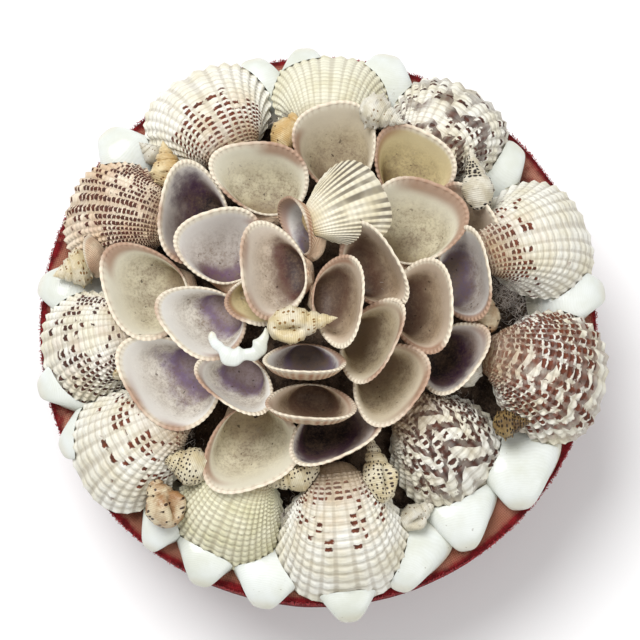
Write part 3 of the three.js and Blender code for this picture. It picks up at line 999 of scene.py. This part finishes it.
# Bearing, reach, rise, heading, pitch, length, width, skew and look, from the uppermost.
ROSE = [
    (9, 4, 28, 352, 42, 18, 23, -0.25, "brown"),
    (141, 13, 26, 185, 20, 18, 25, -0.05, "russet"),
    (256, 14, 26, 268, 55, 17, 20, 0, "grey"),
    (324, 15, 25, 335, 40, 18, 23, 0, "beige"),
    (34, 15, 26, 30, 46, 18, 24, -0.1, "brown"),
    (186, 28, 21, 220, 16, 20, 22, -0.2, "violet"),
    (266, 24, 23, 266, 52, 18, 22, 0, "brown"),
    (223, 27, 22, 235, 36, 18, 21, 0, "violet"),
    (149, 28, 21, 108, 14, 20, 22, 0.1, "plum"),
    (0, 25, 22, 0, 34, 19, 24, -0.1, "brown"),
    (312, 25, 22, 322, 26, 20, 22, -0.1, "beige"),
    (41, 32, 20, 68, 14, 23, 24, -0.1, "cream"),
    (276, 31, 20, 295, 40, 20, 24, 0, "dark"),
    (13, 37, 18, 10, 44, 18, 24, 0.05, "grey"),
    (206, 40, 17, 212, 14, 23, 27, -0.2, "violet"),
    (243, 38, 17, 288, 16, 23, 25, -0.15, "cream"),
    (113, 36, 18, 95, 14, 20, 24, 0.3, "cream"),
    (83, 42, 17, 105, 16, 24, 21, 0, "beige"),
    (173, 43, 17, 197, 14, 22, 26, -0.15, "cream"),
    (142, 39, 18, 170, 24, 20, 26, -0.2, "dark"),
    (57, 44, 16, 62, 20, 20, 22, 0.1, "yellow"),
    (341, 35, 17, 324, 34, 18, 21, 0, "dark"),
    (32, 43, 15, 38, 30, 17, 20, 0, "brown"),
]
PETAL_RIB = 0.17
FAN_RIB = 0.28

# Small valves beside and over the rose: length, width, seat, look, node and slot.
LOOSE_VALVES = {
    "valve_on_edge": (16, 15, spot(106, 20, 24, 113, 10, 110), "grey", "edge_valve",
                      "petal_purple"),
    "valve_beside_rose": (10, 10, spot(166, 60.5, 14, 100, 20, 75), "cream", None,
                          "petal_cream"),
    "valve_under_rose": (13, 14, spot(172, 16, 21.5, 250, 10, 180), "yellow", None,
                         "petal_cream"),
}

# Bearing, reach, heading, length and width.
RING = [
    (87, 58, 87, 29, 31), (56, 60, 56, 30, 31), (20, 59, 20, 32, 32), (346, 60, 346, 32, 34),
    (313, 46, 315, 30, 29), (276, 56, 276, 33, 33), (246, 54, 244, 28, 28),
    (215, 58, 208, 31, 31), (187, 58, 190, 28, 29), (152, 58, 164, 30, 29),
    (118, 60, 120, 31, 34),
]
RING_RISE = 5.4
RING_PITCH = -17

# Bearing, reach, heading, length and width of each clam, those that touch in one cluster.
RIM = [
    [(139, 67.4, 310, 20, 19)],
    [(173, 64.5, 350, 20, 19)],
    [(194, 65.4, 15, 20, 19), (207, 65.6, 30, 19, 18)],
    [(233, 65, 60, 18, 15)],
    [(245, 66, 75, 19, 19), (259, 66.5, 80, 19, 21)],
    [(276, 69, 95, 19, 20)],
    [(291, 65, 75, 20, 19), (306, 62, 100, 20, 20)],
    [(323, 64, 95, 22, 23)],
    [(6, 66, 185, 20, 19)],
    [(41, 62, 225, 20, 19)],
    [(75, 66, 260, 20, 21)],
    [(93, 66, 272, 19, 18), (104, 65, 285, 19, 19)],
]
RIM_RISE = 0.8
RIM_PITCH = 3

# Bearing, reach, rise, heading of the tip, pitch, length, width, mouth shows and look.
SNAILS = [
    (236, 7, 29, 8, 4, 18, 9.5, True, "cream"),
    (98, 50, 14, 60, 0, 15, 9, False, "ochre"),
    (40, 53, 18.5, 100, 8, 17, 8.5, False, "striped"),
    (290, 43, 16, 102, 0, 18, 9, True, "dotted"),
    (229, 52, 15, 163, 5, 14.5, 10, False, "dotted"),
    (230, 62, 11, 115, 12, 16, 10.5, True, "banded"),
    (261, 43, 16, 200, 0, 15, 10, True, "dotted"),
    (297, 57, 6.2, 35, -8, 12, 7, True, "pale"),
]

# Little shells wedged in the gaps: bearing, reach, rise, heading, length, width, look and knobs.
SMALL = {
    "broken_snail": (72, 54, 19, 335, 13, 9.5, "pale", 0.3),
    "knobbly_snail_left": (135, 56, 13, 100, 13, 9.5, "ochre", 0.22),
    "pale_snail_left": (135, 63, 8, 140, 8, 6, "pale", 0.0),
    "brown_snail_right": (1, 43, 15, 95, 13, 7, "banded", 0.1),
    "pale_snail_right": (342, 41, 14, 75, 14, 7, "pale", 0.2),
    "gold_snail_right": (330, 57, 12, 5, 10, 7.5, "golden", 0.3),
    "knobbly_snail_back": (169, 65, 9, 200, 11.5, 10, "cream", 0.25),
    "cream_snail_back": (192, 53, 13, 100, 13, 6.5, "cream", 0.3),
}

KNOB_HEIGHT = 0.12
SMALL_PITCH = 8

# Tufts of lint: bearing, reach, height above the lid and spread.
TUFTS = [
    (2, 52, 13, 7), (8, 51, 13, 6), (5, 48, 12, 5), (15, 50, 12, 5), (324, 44, 12, 4),
    (321, 47, 11, 4), (118, 48, 14, 5), (100, 52, 13, 4), (150, 52, 12, 4), (60, 54, 12, 4),
    (305, 52, 10, 4), (40, 50, 12, 5), (200, 10, 20, 4), (160, 18, 18, 3), (127, 22, 18, 3),
    (20, 20, 18, 3), (75, 60, 8, 4), (130, 62, 7, 4), (262, 52, 10, 4), (222, 47, 11, 4),
    (48, 62, 10, 4),
]


THREADS = 2400
THREAD_THICKNESS, LINT_THICKNESS = 0.09, 0.045


# ---------------------------------------------------------------- operators

# Each light's place, size and share of the main light's power.
LIGHTS = {"key_light": ((-0.26, 0.32, 0.86), 0.55, 1.0),
          "fill_light": ((0.45, -0.45, 0.6), 0.6, 0.28)}
CAMERA_AIM = (0.42, 0.77, LID_TOP + 0.16)
FLOOR_SIDE = 3.0


class SHELLBOX_OT_stage(bpy.types.Operator):
    """Makes the pale floor, the soft lights and the camera"""

    bl_idname = "shellbox.stage"
    bl_label = "Stage"

    def execute(self, context):
        stage = settings().stage
        scene = context.scene
        world = bpy.data.worlds.new("even_light")
        world.use_nodes = True
        back = world.node_tree.nodes["Background"]
        back.inputs["Color"].default_value = (1, 1, 1, 1)
        back.inputs["Strength"].default_value = stage.sky
        scene.world = world
        scene.view_settings.view_transform = "Standard"
        self.floor(stage)
        for name, (place, size, share) in LIGHTS.items():
            self.light(name, place, size, stage.light * share)
        self.camera(scene, stage)
        return {"FINISHED"}

    def floor(self, stage):
        mesh = bpy.data.meshes.new("floor")
        corners = [(FLOOR_SIDE * x, FLOOR_SIDE * y, 0)
                   for x, y in ((-1, -1), (1, -1), (1, 1), (-1, 1))]
        mesh.from_pydata(corners, [], [(0, 1, 2, 3)])
        floor = object_of(mesh)
        recipe = Recipe("floor")
        recipe.ground(recipe.noise(12, 1.0), tuple(stage.floor), shaded(stage.floor, 0.99))
        mesh.materials.append(recipe.finish(0.8))

    def light(self, name, place, size, power):
        lamp = bpy.data.lights.new(name, "AREA")
        lamp.shape = "DISK"
        lamp.size = size
        lamp.energy = power
        light = bpy.data.objects.new(name, lamp)
        light.location = place
        aim = Vector((0, 0, LID_TOP * MM)) - light.location
        light.rotation_euler = aim.to_track_quat("-Z", "Y").to_euler()
        bpy.context.scene.collection.objects.link(light)

    def camera(self, scene, stage):
        lens = bpy.data.cameras.new("camera")
        lens.lens = stage.lens
        lens.sensor_width = 36
        camera = bpy.data.objects.new("camera", lens)
        aim = Vector(CAMERA_AIM) * MM
        away = Vector((0, -math.cos(stage.elevation), math.sin(stage.elevation)))
        camera.location = aim + away * stage.distance
        camera.rotation_euler = (math.pi / 2 - stage.elevation, 0, 0)
        scene.collection.objects.link(camera)
        scene.camera = camera


class SHELLBOX_OT_box(bpy.types.Operator):
    """Covers the drum and the lid in cloth, and lines them with paper"""

    bl_idname = "shellbox.box"
    bl_label = "Box and lid"

    WANDER = 0.13

    def execute(self, context):
        box = settings().box
        thread = box.thread / MM
        cloth, lining = cloth_material(), lining_material()
        hem = LID_LOW.z
        inner = LID_RADIUS - SKIRT_WALL
        lid = self.profile([
            (0, LID_TOP), (30, LID_TOP), (60, LID_TOP), (LID_RADIUS - 1.2, LID_TOP),
            (LID_RADIUS - 0.4, LID_TOP - 0.25), (LID_RADIUS, LID_TOP - 1.0),
            (LID_RADIUS, hem + 2.4), (LID_RADIUS - 0.25, hem + 2.0), (LID_RADIUS, hem + 1.6),
            (LID_RADIUS, hem + 0.4), (LID_RADIUS - 0.4, hem), (inner + 0.3, hem),
            (inner, hem + 0.3), (inner, BASE_HEIGHT), (inner - 20, BASE_HEIGHT),
            (0, BASE_HEIGHT)])
        self.cover("cloth_lid", lid, "lid", cloth, lining, thread, self.WANDER,
                   lambda x, z: x < inner + 0.5 and z < BASE_HEIGHT + 0.5)
        wall = BASE_RADIUS - BASE_WALL
        drum = self.profile([
            (0, 0), (40, 0), (BASE_RADIUS - 0.6, 0), (BASE_RADIUS - 0.15, 0.15),
            (BASE_RADIUS, 0.6), (BASE_RADIUS, BASE_HEIGHT - 0.5),
            (BASE_RADIUS - 0.4, BASE_HEIGHT), (wall + 0.4, BASE_HEIGHT),
            (wall, BASE_HEIGHT - 0.4), (wall, BASE_WALL + 0.4), (wall - 0.4, BASE_WALL),
            (30, BASE_WALL), (0, BASE_WALL)])
        self.cover("cloth_drum", drum, "box_base", cloth, lining, thread, 0.0,
                   lambda x, z: x < wall + 0.3 and z > BASE_WALL - 0.5)
        return {"FINISHED"}

    def profile(self, corners):
        """Puts more points along the long straights."""
        points = [corners[0]]
        for start, end in zip(corners, corners[1:]):
            steps = max(1, round(math.dist(start, end) / CLOTH_STEP))
            for i in range(1, steps + 1):
                share = i / steps
                points.append((start[0] + (end[0] - start[0]) * share,
                               start[1] + (end[1] - start[1]) * share))
        return points

    def cover(self, name, profile, node, cloth, lining, thread, wander, is_lined):
        mesh = turned_mesh(name, profile, thread, wander)
        mesh.transform(Matrix.Scale(MM, 4))
        piece = object_of(mesh)
        dress(piece, [cloth, lining], node)
        for face in piece.data.polygons:
            x, y, z = face.center / MM
            face.material_index = int(is_lined(math.hypot(x, y), z))


class SHELLBOX_OT_glue_bed(bpy.types.Operator):
    """Makes the lumpy bed of paste and fibre that the shells sit in"""

    bl_idname = "shellbox.glue_bed"
    bl_label = "Glue bed"

    SINK = 4.5
    SIDES, ROWS = 160, 60
    LUMPS, LUMP_HEIGHT, LUMP_PACE = 60, 0.09, 0.35

    def execute(self, context):
        around, rows = self.SIDES, self.ROWS
        turn = np.arange(around) / around * TAU
        reach = np.linspace(BED_RADIUS, 0, rows)[:, None]
        height = BED_EDGE + (BED_CROWN - BED_EDGE) * (1 - reach / BED_RADIUS) ** BED_SLOPE
        rng = np.random.default_rng(11)
        lumps = np.zeros((rows, around))
        for _ in range(self.LUMPS):
            wave = rng.normal(size=2) * self.LUMP_PACE
            lumps += np.cos(reach * np.cos(turn) * wave[0] + reach * np.sin(turn) * wave[1]
                            + rng.uniform(0, TAU)) * self.LUMP_HEIGHT
        sunk = np.clip(height - self.SINK + lumps, 0.4, None)
        top = np.stack([reach * np.cos(turn), reach * np.sin(turn), LID_TOP + sunk], axis=-1)
        floor = top[:1].copy()
        floor[..., 2] = LID_TOP + 0.1
        skin = np.concatenate([floor * [0, 0, 1], floor, top])
        mesh = mesh_from_rows("dusty_glue", skin, np.arange(around + 1.0), np.arange(rows + 2.0))
        mesh.transform(Matrix.Scale(MM, 4))
        dress(object_of(mesh), glue_material(), "glue_bed")
        return {"FINISHED"}


class SHELLBOX_OT_rose(bpy.types.Operator):
    """Sets the rose of cupped valves, hollow side up"""

    bl_idname = "shellbox.rose"
    bl_label = "Rose of valves"

    def execute(self, context):
        finishes = {name: petal_material(f"petal_{name}", values)
                    for name, values in PETAL_LOOKS.items()}
        for i, row in enumerate(ROSE, 1):
            bearing, reach, rise, heading, pitch, length, width, skew, name = row
            where = spot(bearing, reach, rise, heading, pitch, 180)
            set_valve(f"cupped_valve_{i:02d}", PETAL, valve_size(length, width, skew), where,
                      finishes[name], f"petal_valve_{i:02d}", PETAL_RIB)
        return {"FINISHED"}


class SHELLBOX_OT_over_rose(bpy.types.Operator):
    """Lays the fan shell, the valve on its edge and the broken lip over the rose"""

    bl_idname = "shellbox.over_rose"
    bl_label = "Shells over the rose"

    LIP_ROWS, LIP_SIDES = 60, 24
    LIP_ARC = 172, 356
    LIP_RADIUS, LIP_BREADTH, LIP_LIFT = 6.7, 1.9, 3.8

    def execute(self, context):
        set_valve("ribbed_fan", FAN, valve_size(21, 21), spot(76, 25, 25.5, 27, 6),
                  fan_material(), "fan_scallop", FAN_RIB)
        for name, (length, width, where, finish, node, slot) in LOOSE_VALVES.items():
            set_valve(name, PETAL, valve_size(length, width), where,
                      petal_material(name, PETAL_LOOKS[finish]), node, PETAL_RIB)
        piece = object_of(placed(self.lip(), spot(209, 22, 25, 100, 8)))
        carved(piece)
        dress(piece, clam_material("broken_lip", 9.0), "broken_lip")
        return {"FINISHED"}

    def lip(self):
        """A claw-like crescent, thick along its middle, broken and pointed at both ends."""
        count, around = self.LIP_ROWS, self.LIP_SIDES
        outer = np.radians(np.linspace(*self.LIP_ARC, count))
        share = np.linspace(0, 1, count)
        reach = self.LIP_RADIUS + 0.5 * np.sin(share * 21) * np.sin(share * math.pi)
        centre_line = reach[:, None] * np.stack([np.cos(outer), np.sin(outer)], axis=-1)
        centre_line[:, 1] += self.LIP_LIFT
        breadth = self.LIP_BREADTH * np.sin(share * math.pi) ** 0.55 + 0.02
        breadth = breadth * (1 + 0.22 * np.sin(share * 17 + 1) + 0.1 * np.sin(share * 43))
        turn = np.arange(around) / around * TAU
        direction = np.stack([np.cos(outer), np.sin(outer)], axis=-1)
        side = breadth[:, None] * np.cos(turn) * (1 + 0.15 * np.sin(3 * turn))
        rise = breadth[:, None] * np.sin(turn) * 0.55 + 0.9
        skin = np.concatenate([centre_line[:, None, :] + direction[:, None, :] * side[..., None],
                               rise[..., None]], axis=-1)
        return mesh_from_rows("claw_lip", skin, np.arange(around + 1) / around, share)


class SHELLBOX_OT_cockles(bpy.types.Operator):
    """Sets the ring of large ribbed cockles, back up"""

    bl_idname = "shellbox.cockles"
    bl_label = "Large cockles"

    def execute(self, context):
        rib = settings().shells.rib / MM
        for i, (bearing, reach, heading, length, width) in enumerate(RING, 1):
            shell = COCKLE_LOOKS[i]
            material = cockle_material(f"cockle_{i:02d}", shell, i * 3.7)
            where = spot(bearing, reach, RING_RISE, heading, RING_PITCH)
            kind = look(**vars(COCKLE), fine_ribs=shell.ribs, beads=shell.beads)
            set_valve(f"ribbed_cockle_{i:02d}", kind, valve_size(length, width), where,
                      material, f"large_cockle_{i:02d}", rib * shell.rib)
        return {"FINISHED"}


class SHELLBOX_OT_snails(bpy.types.Operator):
    """Sets the snail shells and the smallest shells in the gaps"""

    bl_idname = "shellbox.snails"
    bl_label = "Snail shells"

    def execute(self, context):
        finishes = {name: snail_material(f"snail_{name}", values)
                    for name, values in SNAIL_LOOKS.items()}
        for i, row in enumerate(SNAILS, 1):
            bearing, reach, rise, heading, pitch, length, width, mouth, name = row
            set_snail(f"spired_snail_{i:02d}", look(length=length, width=width),
                      spot(bearing, reach, rise, heading, pitch), finishes[name],
                      f"snail_shell_{i:02d}", KNOB_HEIGHT, mouth)
        for name, (bearing, reach, rise, heading, length, width, finish, knobs) in SMALL.items():
            set_snail(name, look(length=length, width=width),
                      spot(bearing, reach, rise, heading, SMALL_PITCH), finishes[finish], None,
                      knobs, False)
        return {"FINISHED"}


class SHELLBOX_OT_clams(bpy.types.Operator):
    """Sets the smooth clams along the rim"""

    bl_idname = "shellbox.clams"
    bl_label = "Rim clams"

    def execute(self, context):
        for i, cluster in enumerate(RIM, 1):
            material = clam_material(f"clam_{i:02d}", i * 1.9)
            for k, (bearing, reach, heading, length, width) in enumerate(cluster):
                where = spot(bearing, reach, RIM_RISE, heading, RIM_PITCH)
                name = f"smooth_clam_{i:02d}" + "abc"[k]
                node = f"rim_clam_{i:02d}"
                set_valve(name, CLAM, valve_size(length, width), where, material, node)
        return {"FINISHED"}


class SHELLBOX_OT_lint(bpy.types.Operator):
    """Scatters lint between the shells and frays the edge of the lid"""

    bl_idname = "shellbox.lint"
    bl_label = "Lint and frayed threads"

    def execute(self, context):
        lint = settings().lint
        rng = np.random.default_rng(lint.seed)
        points = []
        for bearing, reach, rise, spread in TUFTS:
            turn = math.radians(bearing)
            centre = np.array([reach * math.cos(turn), reach * math.sin(turn), LID_TOP + rise])
            cloud = rng.normal(size=(lint.count, 3)) * [spread / 2, spread / 2, spread / 5]
            points.append(centre + cloud)
        material = lint_material()
        self.scatter("caught_lint", np.concatenate(points), lint.length, LINT_THICKNESS,
                     material, lint.seed, math.pi)
        turn = rng.uniform(0, TAU, THREADS)
        edge = np.stack([LID_RADIUS * np.cos(turn), LID_RADIUS * np.sin(turn),
                         LID_TOP - 0.6 + rng.normal(size=THREADS) * 0.35], axis=-1)
        self.scatter("frayed_threads", edge, settings().box.fray, THREAD_THICKNESS,
                     bpy.data.materials["red_cloth"], lint.seed + 1, math.pi)
        return {"FINISHED"}

    def scatter(self, name, points, length, thickness, material, seed, spin):
        """One bent fibre on every point, turned and sized at random."""
        mesh = bpy.data.meshes.new(name)
        mesh.from_pydata((points * MM).tolist(), [], [])
        piece = object_of(mesh)
        tree, inputs = fibre_tree(f"{name}_tree")
        modifier = piece.modifiers.new("fibres", "NODES")
        modifier.node_group = tree
        values = {"Length": length, "Thickness": thickness * MM, "Spin": spin, "Seed": seed,
                  "Material": material}
        for key, value in values.items():
            modifier[inputs[key]] = value
        depsgraph = bpy.context.evaluated_depsgraph_get()
        made = bpy.data.meshes.new_from_object(piece.evaluated_get(depsgraph),
                                               depsgraph=depsgraph)
        piece.modifiers.clear()
        made.name = name
        piece.data = made
        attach(piece, BODY)


FIBRE_BEND = {"Start": (-0.5, 0, 0), "Middle": (0, 0.45, 0.2), "End": (0.5, 0, 0)}
FIBRE_SIZES = {"Min_001": 0.4, "Max_001": 1.2}
FIBRE_INPUTS = {"Geometry": "Geometry", "Length": "Float", "Thickness": "Float",
                "Spin": "Float", "Seed": "Int", "Material": "Material"}


def fibre_tree(name):
    """A fibre on each point: a bent line with a three-sided section."""
    group = bpy.data.node_groups.new(name, "GeometryNodeTree")
    tree = Tree(group)
    named = {label: group.interface.new_socket(label, in_out="INPUT",
                                               socket_type=f"NodeSocket{kind}").identifier
             for label, kind in FIBRE_INPUTS.items()}
    group.interface.new_socket("Geometry", in_out="OUTPUT", socket_type="NodeSocketGeometry")
    start = group.nodes.new("NodeGroupInput")
    given = {label: Wire(tree, start.outputs[label]) for label in FIBRE_INPUTS}
    bend = {key: tree.node("ShaderNodeVectorMath", {"operation": "SCALE"},
                           {0: share, "Scale": given["Length"]})
            for key, share in FIBRE_BEND.items()}
    line = tree.node("GeometryNodeCurveQuadraticBezier", None, {"Resolution": 4, **bend})
    section = tree.node("GeometryNodeCurvePrimitiveCircle", None,
                        {"Resolution": 3, "Radius": given["Thickness"]})
    tube = tree.node("GeometryNodeCurveToMesh", None, {"Curve": line, "Profile Curve": section})
    turn = tree.node("FunctionNodeRandomValue", {"data_type": "FLOAT_VECTOR"},
                     {"Min": -given["Spin"], "Max": given["Spin"], "Seed": given["Seed"]})
    size = tree.node("FunctionNodeRandomValue", {"data_type": "FLOAT"},
                     {**FIBRE_SIZES, "Seed": given["Seed"]}, 1)
    spread = tree.node("GeometryNodeInstanceOnPoints", None,
                       {"Points": given["Geometry"], "Instance": tube, "Rotation": turn,
                        "Scale": size})
    real = tree.node("GeometryNodeRealizeInstances", None, {"Geometry": spread})
    finish = tree.node("GeometryNodeSetMaterial", None,
                       {"Geometry": real, "Material": given["Material"]})
    tree.end("NodeGroupOutput", "Geometry", finish)
    return tree.tree, named


class SHELLBOX_PT_panel(bpy.types.Panel):
    """Lists the steps that dress the box"""

    bl_label = "Shell box"
    bl_idname = "SHELLBOX_PT_panel"
    bl_space_type = "VIEW_3D"
    bl_region_type = "UI"
    bl_category = "Shell box"

    def draw(self, context):
        chosen = settings()
        for group in (chosen.box, chosen.shells, chosen.lint, chosen.stage):
            box = self.layout.box()
            for key in group.__annotations__:
                box.prop(group, key)
        for step in STEPS:
            self.layout.operator(step.bl_idname)


STEPS = [
    SHELLBOX_OT_stage, SHELLBOX_OT_box, SHELLBOX_OT_glue_bed, SHELLBOX_OT_rose,
    SHELLBOX_OT_over_rose, SHELLBOX_OT_cockles, SHELLBOX_OT_snails, SHELLBOX_OT_clams,
    SHELLBOX_OT_lint,
]
CLASSES = [BoxSettings, ShellSettings, LintSettings, StageSettings, ShellBoxSettings,
           *STEPS, SHELLBOX_PT_panel]


def register():
    for item in CLASSES:
        bpy.utils.register_class(item)
    bpy.types.Scene.shell_box = PointerProperty(type=ShellBoxSettings)


def unregister():
    del bpy.types.Scene.shell_box
    for item in reversed(CLASSES):
        bpy.utils.unregister_class(item)


def main():
    register()
    for step in STEPS:
        family, name = step.bl_idname.split(".")
        getattr(getattr(bpy.ops, family), name)()
    for room, _, _ in taken:
        bpy.data.objects.remove(room)
    taken.clear()


if __name__ == "__main__":
    main()
